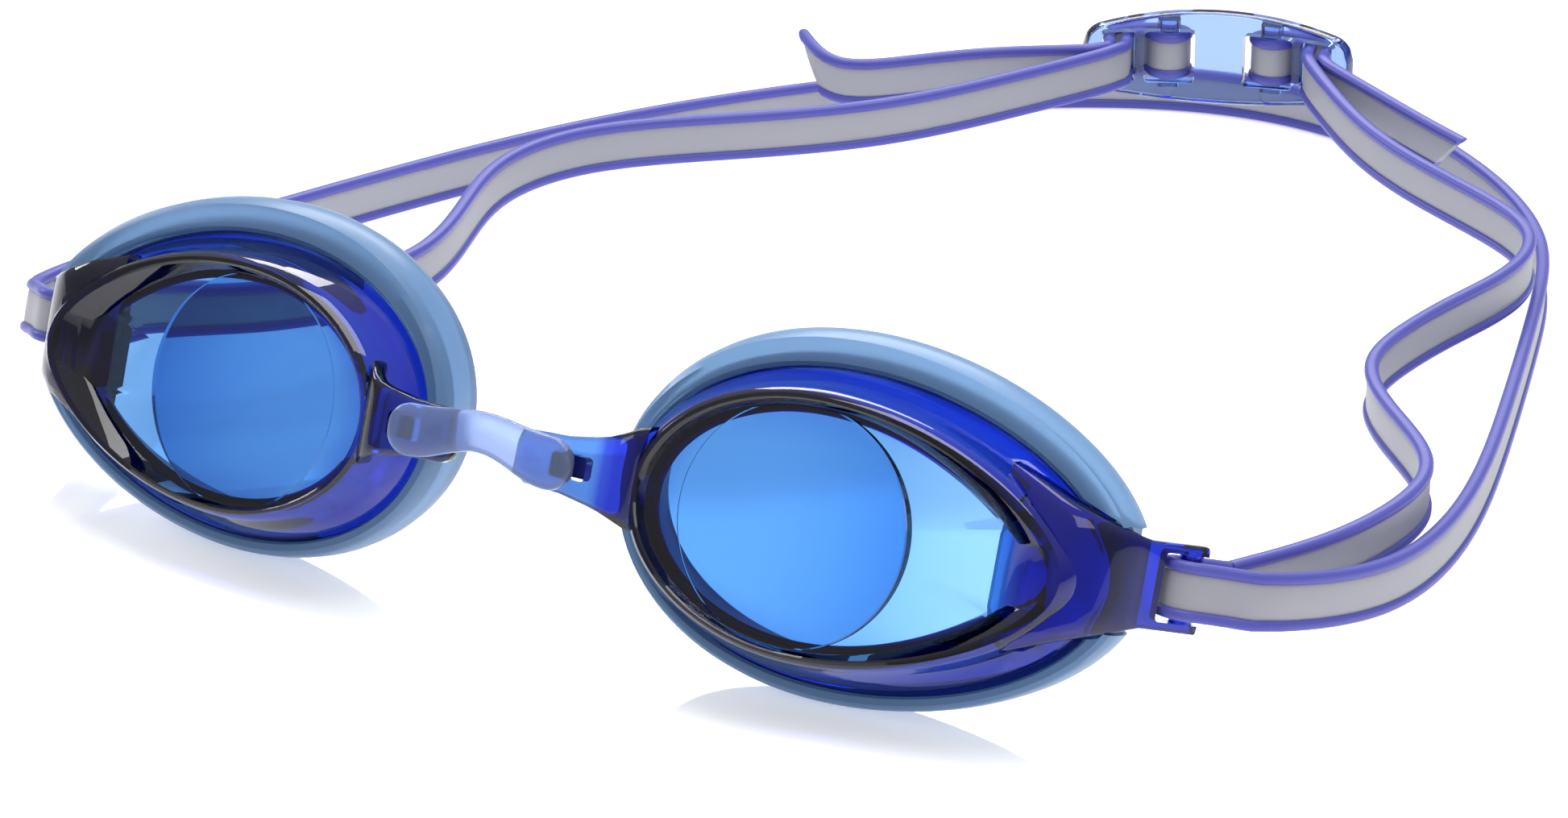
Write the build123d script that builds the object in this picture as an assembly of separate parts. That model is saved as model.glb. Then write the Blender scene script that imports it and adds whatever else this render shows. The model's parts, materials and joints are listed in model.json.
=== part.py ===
from build123d import *
import os
from math import atan2, cos, degrees, pi, radians, sin, tan

# Swim goggles, in millimetres. X is across the face, Y runs from the nose bridge to the back
# of the head strap, and Z is up. The pair rests as it is put down on a table: the eye cups
# lean back on the lower edges of their gaskets, and the strap stands on its edge behind them.
# The origin is the middle of the nose bridge.

# ---- driving dimensions: eye cups ----
lean = 20.0             # how far the tops of the cups lean back, degrees
wrap = 5.5              # how far each cup turns towards its temple, degrees
cup_x = 37.3            # window centre from the mid-plane
cup_y = -3.4            # window front, in the leaning frame
cup_z = 21.2            # window centre above the foot line, in the leaning frame
window_a = 20.8         # half width of the flat window
window_b = 12.7         # half height of the flat window
window_t = 2.2          # window thickness
rim_w = 1.7             # width of the raised rim round the window
rim_h = 1.1             # height of the rim above the window
wall = 1.7              # side wall of the cup
waist_side = 1.0        # the side wall widens this much at its ends, behind the rim,
waist_rise = 0.6        # this much at its top and bottom,
waist_out = 0.4         # moves this much towards the temple,
waist_y = 1.5           # and does so by this depth
flange_side = 6.8       # the rear flange stands this far outside the window at its ends
flange_rise = 4.5       # and this far outside its top and bottom
flange_w = 8.4          # from window front to the back of the flange
flange_t = 1.6          # thickness of the flange
neck_a = 1.4            # the side wall meets the flange this far inside its end
neck_b = 1.0            # and this far inside its top and bottom
flange_out = 2.3        # the flange sits this much nearer the temple than the window
egg = 0.10              # how much narrower an outline is towards the temple
disc_r = 12.5           # radius of the flat optical disc
disc_x = -3.6           # middle of the disc, from the window centre
facet_tilt = 6.0        # slope of the side facet beyond the disc, degrees
window_seat = 0.5       # the window runs this far into the side wall

# ---- gaskets ----
gasket_over = 1.8       # how far the gasket stands outside the flange
gasket_lip = 1.7        # how far it wraps in front of the flange
gasket_w = 12.4         # from window front to the face seal
gasket_seal = 1.8       # how far the outline draws in at the face seal
gasket_wall = 5.0       # width of the seal
gasket_round = 1.0      # how far the outline draws in at its front
gasket_belly = 0.3      # the gasket is widest this far behind the flange
relief_w = 2.0          # seal left behind the outrigger, where the gasket is cut back
relief_room = 3.8       # the cut is this much taller than the strap slot
arm_gap = 0.3           # clearance of the gasket round the outrigger
fit_gap = 0.05          # clearance of the gasket groove on the flange

# ---- strap outriggers at the temples ----
bar_reach = 11.9        # strap bar beyond the temple end of the window
bar_y = 12.6            # strap bar, in the leaning frame
bar_d = 2.4             # diameter of the strap bar
slot_room = 1.0         # the slot is this much taller than the strap
slot_w = 2.2            # width of the strap slot
arm_h = 0.95            # height of each arm above and below the slot
arm_t = 2.6             # thickness of the outrigger
arm_tip = 0.3           # an arm ends this far past the bar
arm_neck = 2.0          # full arm in front of the slot
arm_root = 3.5          # the outrigger starts this far inside the window's end,
arm_root_y = 3.4        # with its back at this depth
arm_set = 0.2           # its front lies this much below the top of the rim,
arm_root_drop = 3.4     # its top this much inside the rim's top,
arm_knee_drop = 6.3     # and this much inside it at the knee,
arm_knee = 2.0          # which is this far outside the rim
arm_slim = 6.5          # from this far outside the rim it has its end height

# ---- nose tabs and bridge ----
tab_y = -8.7            # front face of both nose tabs, in the leaning frame
tab_t = 1.8             # thickness of a tab
tab_end = 3.9           # rounded end of a tab, from the mid-plane
tab_h = 5.6             # height of a tab at its end
tab_root_h = 7.8        # height of a tab where it joins the cup
tab_root = 3.2          # a tab runs this far inside the rim
tab_flare = 5.0         # it starts to flare this far before its root,
tab_waist = 0.4         # where it is this much lower than the root at top and bottom,
tab_splay = 0.8         # and ends this much taller
tab_corner = 1.2        # corner at the inner end
tab_round = 1.0         # rounding of the inner end
tab_block = 3.4         # length of the block that joins a tab to its cup
hole_in = 8.3           # inner end of the keyhole slot, from the mid-plane
hole_out = 12.1         # and its outer end
hole_h = 2.5            # height of the slot
stud_w = 1.8            # width of the bridge stud, which sits at the slot's inner end
stud_gap = 0.1          # clearance of the stud in its slot
stud_head = 0.3         # how far the stud stands out behind the tab
bridge_half = 11.2      # rounded tip of the bridge, from the mid-plane
bridge_t = 2.0          # thickness of the bridge
bridge_h = 5.5          # height at the tips
bridge_mid_h = 4.3      # height in the middle
bridge_rise = 1.4       # the middle stands this much higher than the tips
bridge_round = 0.6      # rounding of the front edges

# ---- head strap ----
strap_h = 6.0           # width of the strap
web_t = 1.0             # thickness of the clear web
bead_t = 1.6            # thickness of the coloured edge beads
bead_h = 1.25           # height of a bead
loop_r = 2.2            # middle of the strap round an outrigger bar
loop_slack = 0.2        # the loop bulges this much in front of the bar,
loop_side = 0.1         # and this much beside it
loop_square = 1.5       # the loop's sides run straight this far behind the bar's middle
loop_corner = 0.25      # how much less than its radius a corner of the loop turns in
leg_bend = 6.0          # bend where a leg leaves the loop
leg_lap = 1.5           # overlap of the outer run and a loop's leg
leg_out = (7.5, 3.4)    # where a loop's outer leg meets its run, along and across the arm
leg_in = (5.5, -2.4)    # and its inner leg
roll_gap = 0.05         # clearance of the strap round a clip post
run_gap = 0.05          # clearance between a loop's inner leg and the run that follows it
clip_bend = 1.1         # bend of the band at the clip
bend_share = 0.45       # part of a straight run that a bend at its end may take
slot_side = 0.2         # clearance of the band in the clip's slot
slot_front = 2.6        # where the band meets its run, in front of the middle of the clip
back_gap = 2.4          # middle of the strap behind the clip, from the middle of its plate

# ---- rear clip ----
clip_x = -2.4           # centre of the clip, from the mid-plane
clip_y = 169.0          # and from the cups
clip_low = 6.9          # underside of the clip above the table
clip_yaw = 20.0         # the clip is turned this much, degrees
clip_half = 17.2        # half length
clip_h = 12.0           # height in the middle
clip_end_h = 7.5        # height at the ends
clip_t = 2.0            # thickness
clip_r = 46.0           # plan radius round the head
clip_corner = 2.0       # rounding of the corners
post_s = 6.4            # post from the clip's centre
post_d = 2.8            # post diameter
post_out = 1.8          # the posts stand this far behind the middle of the plate
post_lug = 1.0          # and reach this far past their window, above and below
pane_in = 3.1           # inner edge of the roll window, from the centre
bar_in = 9.6            # inner edge of the clip bar, from the centre
bar_out = 10.7          # outer edge of the clip bar
slot_out = 15.0         # outer edge of the strap slot
pane_room = 0.8         # the windows and slots are this much taller than the strap

cut = 0.1               # how far a cutting shape runs past what it cuts
reach = 300.0           # longer than anything in the pair
turn = -lean            # leaning back is a negative turn about X
bar_x = cup_x + window_a + bar_reach
slot_h = strap_h + slot_room
roll_r = post_d / 2 + roll_gap + bead_t / 2
pane_h = strap_h + pane_room

# Routes of the strap's lower edge on the table: x, y, height. The clip's slots end the inner runs.
left_side = [(-79, 36, 9.5), (-78, 60, 6.5), (-75, 86, 4), (-67, 119, 2), (-53, 150, 0)]
back_side = [(-32, 172, 0), (-8, 184, 0), (14, 181, 0), (34, 169, 0), (51, 151, 0)]
right_side = [(61, 125, 2), (72, 92, 3.5), (80.5, 64, 5), (83, 40, 7)]
left_run = [(-64, 34, 9.8), (-52, 42, 9.8), (-47, 56, 9.6), (-52, 72, 9.3), (-58, 88, 9),
            (-55, 104, 8.6), (-42, 117, 8.2), (-28, 130, 8.4), (-19, 146, 9)]
left_tail = [(-26, 152.5, 9), (-35, 146, 8), (-42.5, 141, 7.4), (-49, 144.5, 9.6)]
right_run = [(77, 38, 9.8), (79, 53, 9.5), (76, 64, 9.2), (66, 74, 9), (58.5, 84, 8.8), (57.5, 95, 8.6),
             (58.5, 107, 8.4), (60.5, 120, 8.2), (57.5, 132, 8), (48.5, 139, 8), (36, 145.5, 8.2),
             (26, 152, 8.7), (17.5, 160, 9.4)]
right_tail = [(19.5, 164, 9.4), (30, 158.5, 8.6), (38, 154.5, 8.2)]


# ---- eye cup outlines ----
def outline(a, b, out, depth):
    """An egg-shaped face across the cup, narrower towards the temple, at a depth behind the window."""
    points = []
    for step in range(16):
        t = 2 * pi * step / 16
        points.append((out + a * cos(t), depth, b * sin(t) * (1 - egg * cos(t))))
    return make_face(Spline(*points, periodic=True))


def shell(*sections):
    """A closed shell lofted through such outlines, from the front to the back."""
    return loft([outline(*section) for section in sections])


def cup_place(shape):
    """From the cup's own frame, window centre at the origin, to its place on the right side."""
    return Pos(cup_x, cup_y, cup_z) * Rot(Z=wrap) * shape


def lean_back(shape):
    return Rot(X=turn) * shape


def leaned(x, y, z):
    """Where a point of the leaning frame stands once the cups lean back."""
    c, s = cos(radians(lean)), sin(radians(lean))
    return x, y * c + z * s, -y * s + z * c


# ---- lens cup: window, rim, side wall, flange, nose tab and outrigger, moulded in one ----
rim_a, rim_b = window_a + rim_w, window_b + rim_w
flange_a, flange_b = window_a + flange_side, window_b + flange_rise
wall_w = flange_w - flange_t            # where the side wall meets the flange


def cavity():
    """The room for the eye, inside the side wall."""
    a, b = flange_a - neck_a - wall, flange_b - neck_b - wall
    waist = rim_a + waist_side - wall, rim_b + waist_rise - wall, waist_out, waist_y + wall
    return (shell((window_a, window_b, 0, window_t - cut), waist, (a, b, flange_out, wall_w))
            + extrude(outline(a, b, flange_out, wall_w), amount=flange_t + cut, dir=(0, 1, 0)))


def side_wall():
    outer = shell((rim_a, rim_b, 0, -rim_h), (rim_a + waist_side, rim_b + waist_rise, waist_out, waist_y),
                  (flange_a - neck_a, flange_b - neck_b, flange_out, wall_w))
    recess = extrude(outline(window_a, window_b, 0, -rim_h), amount=rim_h + window_t, dir=(0, 1, 0))
    flange = extrude(outline(flange_a, flange_b, flange_out, wall_w), amount=flange_t, dir=(0, 1, 0))
    return outer + flange - cavity() - recess


def facet_slab(front, back):
    """A slab under the sloping side facet, between two depths behind the facet's plane."""
    length = 3 * window_a
    slab = Pos(length / 2, (front + back) / 2, 0) * Box(length, back - front, 4 * window_b)
    return Pos(disc_x, 0, 0) * Rot(Z=facet_tilt) * slab


def window():
    """The flat optical disc, and beyond it the side facet that slopes back to the temple."""
    zone = extrude(outline(window_a, window_b, 0, 0), amount=3 * window_t, dir=(0, 1, 0))
    disc = Pos(disc_x, 0, 0) * Rot(X=90) * Cylinder(disc_r, 2 * window_a)
    seated = outline(window_a + window_seat, window_b + window_seat, 0, 0)
    plate = extrude(seated, amount=window_t, dir=(0, 1, 0))
    front = facet_slab(-4 * window_t, 0)
    return (plate & disc) + (plate - disc - front) + (facet_slab(0, window_t) & zone - disc)


# ---- outrigger: the arm that runs back from the cup to the strap bar ----
def cup_frame(x, y):
    """A point of the leaning frame in the right cup's own frame."""
    c, s = cos(radians(wrap)), sin(radians(wrap))
    return (x - cup_x) * c + (y - cup_y) * s, -(x - cup_x) * s + (y - cup_y) * c


bar_u, bar_w = cup_frame(bar_x, bar_y)
run_angle = degrees(atan2(bar_w - rim_h, bar_u - rim_a))    # the way the arm runs back


def on_arm(along, across):
    """A plan point beside the strap bar, along and across the arm."""
    c, s = cos(radians(run_angle)), sin(radians(run_angle))
    return bar_u + along * c + across * s, bar_w + along * s - across * c


def outrigger(extra=0.0):
    half, tip, neck = arm_t / 2 + extra, bar_d / 2 + arm_tip, slot_w + bar_d + arm_neck
    root = window_a - arm_root
    plan = [(root, arm_set - rim_h - extra), (rim_a, -arm_set - extra), on_arm(-neck, half),
            on_arm(tip, half), on_arm(tip, -half), on_arm(-neck, -half), (root, arm_root_y + extra)]
    end_h = slot_h / 2 + arm_h + extra
    side = [(root - cut, rim_b - arm_root_drop + extra), (rim_a + arm_knee, rim_b - arm_knee_drop + extra),
            (rim_a + arm_slim, end_h), (bar_u + 2 * bar_d, end_h)]
    side += [(u, -v) for u, v in reversed(side)]
    slab = Pos(0, 0, -2 * window_b) * extrude(make_face(Polyline(*plan, close=True)), amount=4 * window_b)
    return slab & extrude(Plane.XZ * make_face(Polyline(*side, close=True)), amount=3 * bar_w, both=True)


def strap_bar():
    return Pos(bar_u, bar_w, 0) * Cylinder(bar_d / 2, slot_h + arm_h)


def strap_slot():
    """The opening the strap passes through, in front of the bar, and the gap behind the bar."""
    x, y = on_arm(-(bar_d + slot_w) / 2, 0)
    front = Pos(x, y, 0) * Rot(Z=run_angle) * Box(slot_w, 4 * arm_t, slot_h)
    x, y = on_arm(3 * bar_d / 2, 0)
    return front + Pos(x, y, 0) * Rot(Z=run_angle) * Box(4 * bar_d, 4 * arm_t, slot_h)


# ---- nose tab ----
def nose_tab():
    half, root = tab_h / 2, tab_root_h / 2
    root_x = cup_x - rim_a + tab_root
    top = [(tab_end, half - tab_corner), (tab_end + tab_corner, half),
           (root_x - tab_flare, root - tab_waist), (root_x, root + tab_splay)]
    face = make_face(Polyline(*top, *[(x, -z) for x, z in reversed(top)], close=True))
    plate = Pos(0, tab_y + tab_t, cup_z) * extrude(Plane.XZ * face, amount=tab_t)
    plate = fillet(plate.edges().filter_by(Axis.Y).sort_by(Axis.X)[:4], tab_round)
    depth = cup_y - tab_y
    place = Pos(root_x - tab_block / 2 - window_seat, tab_y + tab_t / 2 + depth / 2, cup_z)
    return plate + place * Box(tab_block, depth, tab_root_h)


def tab_hole():
    return Pos((hole_in + hole_out) / 2, tab_y, cup_z) * Box(hole_out - hole_in, 6 * tab_t, hole_h)


def lens():
    arm = outrigger() - strap_slot() + strap_bar() - cavity()
    cup = cup_place(side_wall() + window() + arm)
    return lean_back(cup + (nose_tab() - cup_place(cavity())) - tab_hole())


# ---- gasket: a soft ring in a groove round the flange, out to the face seal ----
def gasket():
    a, b = flange_a + gasket_over, flange_b + gasket_over
    front = wall_w - gasket_lip
    body = shell((a - gasket_round, b - gasket_round, flange_out, front),
                 (a, b, flange_out, flange_w + gasket_belly),
                 (a - gasket_seal, b - gasket_seal, flange_out, gasket_w))
    mouth = shell((a - gasket_wall, b - gasket_wall, flange_out, front - cut),
                  (a - gasket_wall, b - gasket_wall, flange_out, gasket_w + cut))
    groove = extrude(outline(flange_a + fit_gap, flange_b + fit_gap, flange_out, wall_w - fit_gap),
                     amount=flange_t + 2 * fit_gap, dir=(0, 1, 0))
    neck = extrude(outline(flange_a - neck_a + fit_gap, flange_b - neck_b + fit_gap, flange_out, front - cut),
                   amount=gasket_lip + cut, dir=(0, 1, 0))
    relief = Pos(flange_out + a - gasket_wall + relief_w + window_a / 2, 0, 0)
    relief = relief * Box(window_a, 4 * gasket_w, slot_h + relief_room)
    return lean_back(cup_place(body - mouth - groove - neck - relief - outrigger(arm_gap)))


# ---- nose bridge: one soft strip with a rounded tongue and a stud at each end ----
def nose_bridge():
    span, end = bridge_half, bridge_h / 2
    rise, mid = bridge_rise, bridge_mid_h / 2
    face = make_face(Wire([Edge.make_spline([(-span + end, end), (0, mid + rise), (span - end, end)],
                                            tangents=[(1, 0), (1, 0)]),
                           Edge.make_three_point_arc((span - end, end), (span, 0), (span - end, -end)),
                           Edge.make_spline([(span - end, -end), (0, -mid + rise), (-span + end, -end)],
                                            tangents=[(-1, 0), (-1, 0)]),
                           Edge.make_three_point_arc((-span + end, -end), (-span, 0), (-span + end, end))]))
    strip = Pos(0, tab_y, cup_z) * extrude(Plane.XZ * face, amount=bridge_t)
    strip = fillet(strip.edges().group_by(Axis.Y)[0], bridge_round)
    for side in (-1, 1):
        stud = Pos(side * (hole_in + stud_gap + stud_w / 2), tab_y + tab_t / 2, cup_z)
        strip += stud * Box(stud_w, tab_t + 2 * stud_head, hole_h - 2 * stud_gap)
    return lean_back(strip)


# ---- strap: one flat band, a clear web between two coloured beads ----
def smooth_path(points, tight=()):
    """Straight runs joined by arcs as large as the shorter of their two runs allows."""
    radii = []
    for a, b, c in zip(points, points[1:], points[2:]):
        first = Vector(b[0] - a[0], b[1] - a[1])
        second = Vector(c[0] - b[0], c[1] - b[1])
        half_turn = radians(first.get_angle(second)) / 2
        largest = bend_share * min(first.length, second.length) / tan(half_turn)
        radii.append(min(largest, clip_bend) if b in tight else largest)
    return FilletPolyline(*[(x, y) for x, y, *_ in points], radius=radii)


def ribbon(path, thickness, low, high):
    """A band of one thickness along a plan path, between two heights."""
    face = trace(path, line_width=thickness)
    return Pos(0, 0, low) * extrude(face, amount=high - low)


def height_band(route, low, high, along=Axis.Y):
    """Everything between two heights above the strap's lower edge, which rises and falls."""
    place = 1 if along == Axis.Y else 0
    rows = sorted({point[place]: point[2] for point in route}.items())
    rows = [(rows[0][0] - reach, rows[0][1])] + rows + [(rows[-1][0] + reach, rows[-1][1])]
    edge = [(a, z + low) for a, z in rows] + [(a, z + high) for a, z in reversed(rows)]
    plane = Plane.YZ if along == Axis.Y else Plane.XZ
    return extrude(plane * make_face(Polyline(*edge, close=True)), amount=reach, both=True)


def strand(route, low, high, thickness, along=Axis.Y, tight=()):
    """One run of the band, standing on its edge along its route."""
    tall = ribbon(smooth_path(route, tight), thickness, -strap_h, 8 * strap_h)
    return tall & height_band(route, low, high, along)


def bar_loop(side, low, high, thickness):
    """The band round one strap bar, square to the leaning outrigger, from outside to inside."""
    front, beside, corner = -loop_r - loop_slack, loop_r + loop_side, loop_r - loop_corner
    points = [on_arm(*leg_out), on_arm(loop_square, loop_r), on_arm(front, beside),
              on_arm(front, -beside), on_arm(loop_square, -loop_r), on_arm(*leg_in)]
    path = FilletPolyline(*points, radius=[leg_bend, corner, corner, leg_bend])
    band = lean_back(cup_place(ribbon(path, thickness, low - strap_h / 2, high - strap_h / 2)))
    return band if side > 0 else mirror(band, about=Plane.YZ)


def leg_end(side, leg, back):
    """The strap's lower edge where a loop's leg ends, or a little back along the leg."""
    u, w = on_arm(leg[0] - back, leg[1])
    c, s = cos(radians(wrap)), sin(radians(wrap))
    x, y, z = leaned(cup_x + u * c - w * s, cup_y + u * s + w * c, cup_z)
    return side * x, y, z - strap_h / 2


# ---- rear clip: a plate curved round the head, with a strap post in each of its two windows ----
def on_clip(along, out):
    """A plan point of the clip, along its curved plate and out from it, away from the head."""
    turned = along / clip_r
    x, y = (clip_r + out) * sin(turned), (clip_r + out) * cos(turned) - clip_r
    c, s = cos(radians(clip_yaw)), sin(radians(clip_yaw))
    return clip_x + x * c - y * s, clip_y + x * s + y * c


def clip_block(start, end, near, far, low, high):
    """A curved block of the clip between two places along it, two depths and two heights."""
    middle = (start + end) / 2
    path = ThreePointArc(on_clip(start, (near + far) / 2), on_clip(middle, (near + far) / 2),
                         on_clip(end, (near + far) / 2))
    return ribbon(path, far - near, low, high)


def rear_clip():
    middle = clip_low + clip_h / 2
    plate = clip_block(-clip_half, clip_half, -clip_t / 2, clip_t / 2, clip_low, clip_low + clip_h)
    end = clip_end_h / 2
    top = [(-clip_half, end), (0, clip_h / 2), (clip_half, end)]
    face = make_face(Wire([Edge.make_three_point_arc(*top), Edge.make_line(top[2], (clip_half, -end)),
                           Edge.make_three_point_arc(*[(x, -y) for x, y in reversed(top)]),
                           Edge.make_line((-clip_half, -end), top[0])]))
    face = extrude(Plane.XZ * fillet(face.vertices(), clip_corner), amount=clip_half, both=True)
    shape = Pos(clip_x, clip_y, middle) * Rot(Z=clip_yaw) * face
    clip = plate & shape
    low, high = middle - pane_h / 2, middle + pane_h / 2
    for side in (-1, 1):
        for start, stop in ((pane_in, bar_in), (bar_out, slot_out)):
            ends = sorted((side * start, side * stop))
            clip -= clip_block(*ends, -clip_t, clip_t, low, high)
        clip += Pos(*on_clip(side * post_s, post_out), middle) * Cylinder(post_d / 2, pane_h + 2 * post_lug)
    return clip


def clip_run(side, tail):
    """The band through the clip: in at the slot, behind the bar, and on to the post."""
    low = clip_low + clip_h / 2 - strap_h / 2
    if tail:
        slot, back = slot_out - slot_side - bead_t / 2, post_out + roll_r
        plan = [(slot, -slot_front), (slot, back), (post_s, back)]
    else:
        slot = bar_out + slot_side + bead_t / 2
        plan = [(slot, -slot_front), (slot, back_gap), (post_s + roll_r, post_out)]
    return [(*on_clip(side * along, out), low) for along, out in plan]


def roll(side, low, high, thickness):
    """The band wrapped over one clip post."""
    x, y = on_clip(side * post_s, post_out)
    z = clip_low + clip_h / 2 - strap_h / 2
    ring = Cylinder(roll_r + thickness / 2, high - low) - Cylinder(roll_r - thickness / 2, 2 * strap_h)
    return Pos(x, y, z + (low + high) / 2) * ring


def outer_strand(low, high, thickness):
    """The unbroken run: round one bar, back behind the clip, forward and round the other bar."""
    first, last = leg_end(-1, leg_out, leg_lap), leg_end(1, leg_out, leg_lap)
    route = [first, *left_side, *back_side, *right_side, last]
    return strand(route, low, high, thickness) + bar_loop(-1, low, high, thickness) + \
        bar_loop(1, low, high, thickness)


def inner_strand(side, low, high, thickness):
    """From a bar back to the clip, over the post, and out again as the free tail."""
    run, tail = (left_run, left_tail) if side < 0 else (right_run, right_tail)
    way_in, way_out = clip_run(side, False), clip_run(side, True)
    start = leg_end(side, leg_in, -run_gap)
    inward = strand([start, *run, *way_in], low, high, thickness, tight=way_in)
    outward = strand([*reversed(way_out), *tail], low, high, thickness, Axis.X, way_out)
    return inward + roll(side, low, high, thickness) + outward


def band_parts(make, *args):
    """The web and the two edge beads of one strand."""
    web = make(*args, bead_h, strap_h - bead_h, web_t)
    beads = make(*args, 0, bead_h, bead_t) + make(*args, strap_h - bead_h, strap_h, bead_t)
    return web, beads


# ---- the whole pair ----
def all_parts():
    cup, seal = lens(), gasket()
    parts = {"right_lens": cup, "left_lens": mirror(cup, about=Plane.YZ),
             "right_gasket": seal, "left_gasket": mirror(seal, about=Plane.YZ),
             "nose_bridge": nose_bridge(), "rear_clip": rear_clip()}
    parts["strap_outer_web"], parts["strap_outer_beads"] = band_parts(outer_strand)
    parts["strap_left_web"], parts["strap_left_beads"] = band_parts(inner_strand, -1)
    parts["strap_right_web"], parts["strap_right_beads"] = band_parts(inner_strand, 1)
    return parts


origin = leaned(0, tab_y - bridge_t / 2, cup_z + bridge_rise)
os.makedirs("parts", exist_ok=True)
for name, shape in all_parts().items():
    export_step(Pos(-origin[0], -origin[1], -origin[2]) * shape, f"parts/{name}.step")
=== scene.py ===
import json
from math import cos, pi, radians, sin, sqrt, tan

import bmesh
import bpy
from mathutils import Matrix, Vector


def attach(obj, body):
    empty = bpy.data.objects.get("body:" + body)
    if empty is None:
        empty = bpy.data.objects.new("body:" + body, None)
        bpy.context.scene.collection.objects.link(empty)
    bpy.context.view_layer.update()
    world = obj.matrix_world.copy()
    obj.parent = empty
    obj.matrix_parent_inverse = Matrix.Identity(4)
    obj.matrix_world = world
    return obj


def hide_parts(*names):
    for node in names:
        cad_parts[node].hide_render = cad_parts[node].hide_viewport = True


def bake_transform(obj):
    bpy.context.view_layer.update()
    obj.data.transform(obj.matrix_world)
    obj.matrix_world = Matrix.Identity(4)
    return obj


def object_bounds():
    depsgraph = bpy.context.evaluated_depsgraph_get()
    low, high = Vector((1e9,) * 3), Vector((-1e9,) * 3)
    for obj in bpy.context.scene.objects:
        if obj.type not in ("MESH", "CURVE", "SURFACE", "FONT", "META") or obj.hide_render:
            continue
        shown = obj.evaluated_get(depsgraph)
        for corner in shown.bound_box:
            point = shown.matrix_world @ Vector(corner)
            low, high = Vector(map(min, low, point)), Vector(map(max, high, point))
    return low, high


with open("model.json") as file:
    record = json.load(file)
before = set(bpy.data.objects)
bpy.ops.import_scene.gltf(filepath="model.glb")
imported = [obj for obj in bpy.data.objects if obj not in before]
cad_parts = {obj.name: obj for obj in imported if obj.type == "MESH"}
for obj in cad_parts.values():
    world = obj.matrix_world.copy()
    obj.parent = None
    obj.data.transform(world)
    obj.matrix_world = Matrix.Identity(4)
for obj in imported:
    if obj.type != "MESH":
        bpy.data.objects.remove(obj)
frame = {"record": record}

cad_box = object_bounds()
MM = 0.001

# ---- camera: a long lens from the front right, a little above the cups ----
floor_z = cad_box[0][2]
camera_data = bpy.data.cameras.new("camera")
camera_data.sensor_width = 36.0
camera_data.lens = 131.2
camera_data.clip_start, camera_data.clip_end = 0.05, 20.0
camera = bpy.data.objects.new("camera", camera_data)
bpy.context.scene.collection.objects.link(camera)
azimuth, elevation = radians(30.96), radians(22.99)
towards_camera = Vector((sin(azimuth) * cos(elevation), -cos(azimuth) * cos(elevation), sin(elevation)))
across = Vector((cos(azimuth), sin(azimuth), 0.0))
upwards = towards_camera.cross(across)
camera_place = Vector((300.8, -441.8, 229.0)) * MM
axes = Matrix((across, upwards, towards_camera)).transposed().to_4x4()
camera.matrix_world = Matrix.Translation(camera_place) @ axes
bpy.context.scene.camera = camera


# ---- eye cups: each is one moulding of blue-tinted polycarbonate, with its window, raised rim,
# side wall, rear flange, nose tab and strap outrigger. A flat optical disc fills the nose side of
# the window, and a facet slopes back from it towards the temple.
mounts = {mount["name"]: mount for mount in frame["record"]["mounts"]}
hinge = frame["record"]["behaviour"]["joints"][0]
lean_axis = Vector(hinge["axis"]).normalized()          # up, in the plane of the leaning cups
seal_axis = Vector(mounts["right_face_seal"]["axis"]).normalized()
side_axis = seal_axis.cross(lean_axis).normalized()
window_t = 2.2
wall = 2.2
flange_a, flange_b, flange_out = 27.6, 17.2, 2.3
flange_w, flange_t = 8.4, 1.6
neck = 1.2
wall_w = flange_w - flange_t
gasket_w = 12.4
egg = 0.10                               # an outline is this much narrower towards the temple
nose_share = 0.6
disc_r, disc_u = 12.5, -3.6
drop_u = -2.0                            # the drop shapes are laid out about this place
cup_v = -1.1                             # the moulding sits this much below the gasket's middle
facet_slope = tan(radians(6.0))
seal_middle = Vector(mounts["right_face_seal"]["pos_m"])
cup_origin = seal_middle - (seal_axis * gasket_w + side_axis * flange_out) * MM
cup_axes = Matrix((side_axis, seal_axis, lean_axis)).transposed().to_4x4()
cup_place = Matrix.Translation(cup_origin) @ cup_axes @ Matrix.Scale(MM, 4)
RING = 160


def next_loop(bm, loop):
    """Extrudes a closed loop of vertices and returns the new loop in the same order."""
    edges = [bm.edges.get((a, b)) for a, b in zip(loop, loop[1:] + loop[:1])]
    grown = bmesh.ops.extrude_edge_only(bm, edges=edges)["geom"]
    fresh = {item for item in grown if isinstance(item, bmesh.types.BMVert)}
    return [next(e.other_vert(v) for e in v.link_edges if e.other_vert(v) in fresh) for v in loop]


def facet_depth(u):
    """How far behind the window's front the side facet lies."""
    return max(0.0, (u - disc_u) * facet_slope)


def drop_point(k, nose, temple, half, low, point):
    """A place on a drop-shaped outline: round towards the nose, drawn to a point at the temple.
    The last value is its share in what happens at the temple end."""
    t = 2 * pi * k / RING
    c, s = cos(t), sin(t)
    reach = temple if c > 0 else nose
    pinch = 1 - point * c * c if c > 0 else 1.0
    return drop_u + reach * c, low + half * s * pinch, max(0.0, c) ** 2


def drop_loop(loop, nose, temple, half, low, point, depth, back, facet):
    """Lays a loop out as a drop; back is how much deeper its temple end lies."""
    for k, vert in enumerate(loop):
        u, v, share = drop_point(k, nose, temple, half, low, point)
        vert.co = (u, depth + back * share + facet * facet_depth(u), v)


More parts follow.
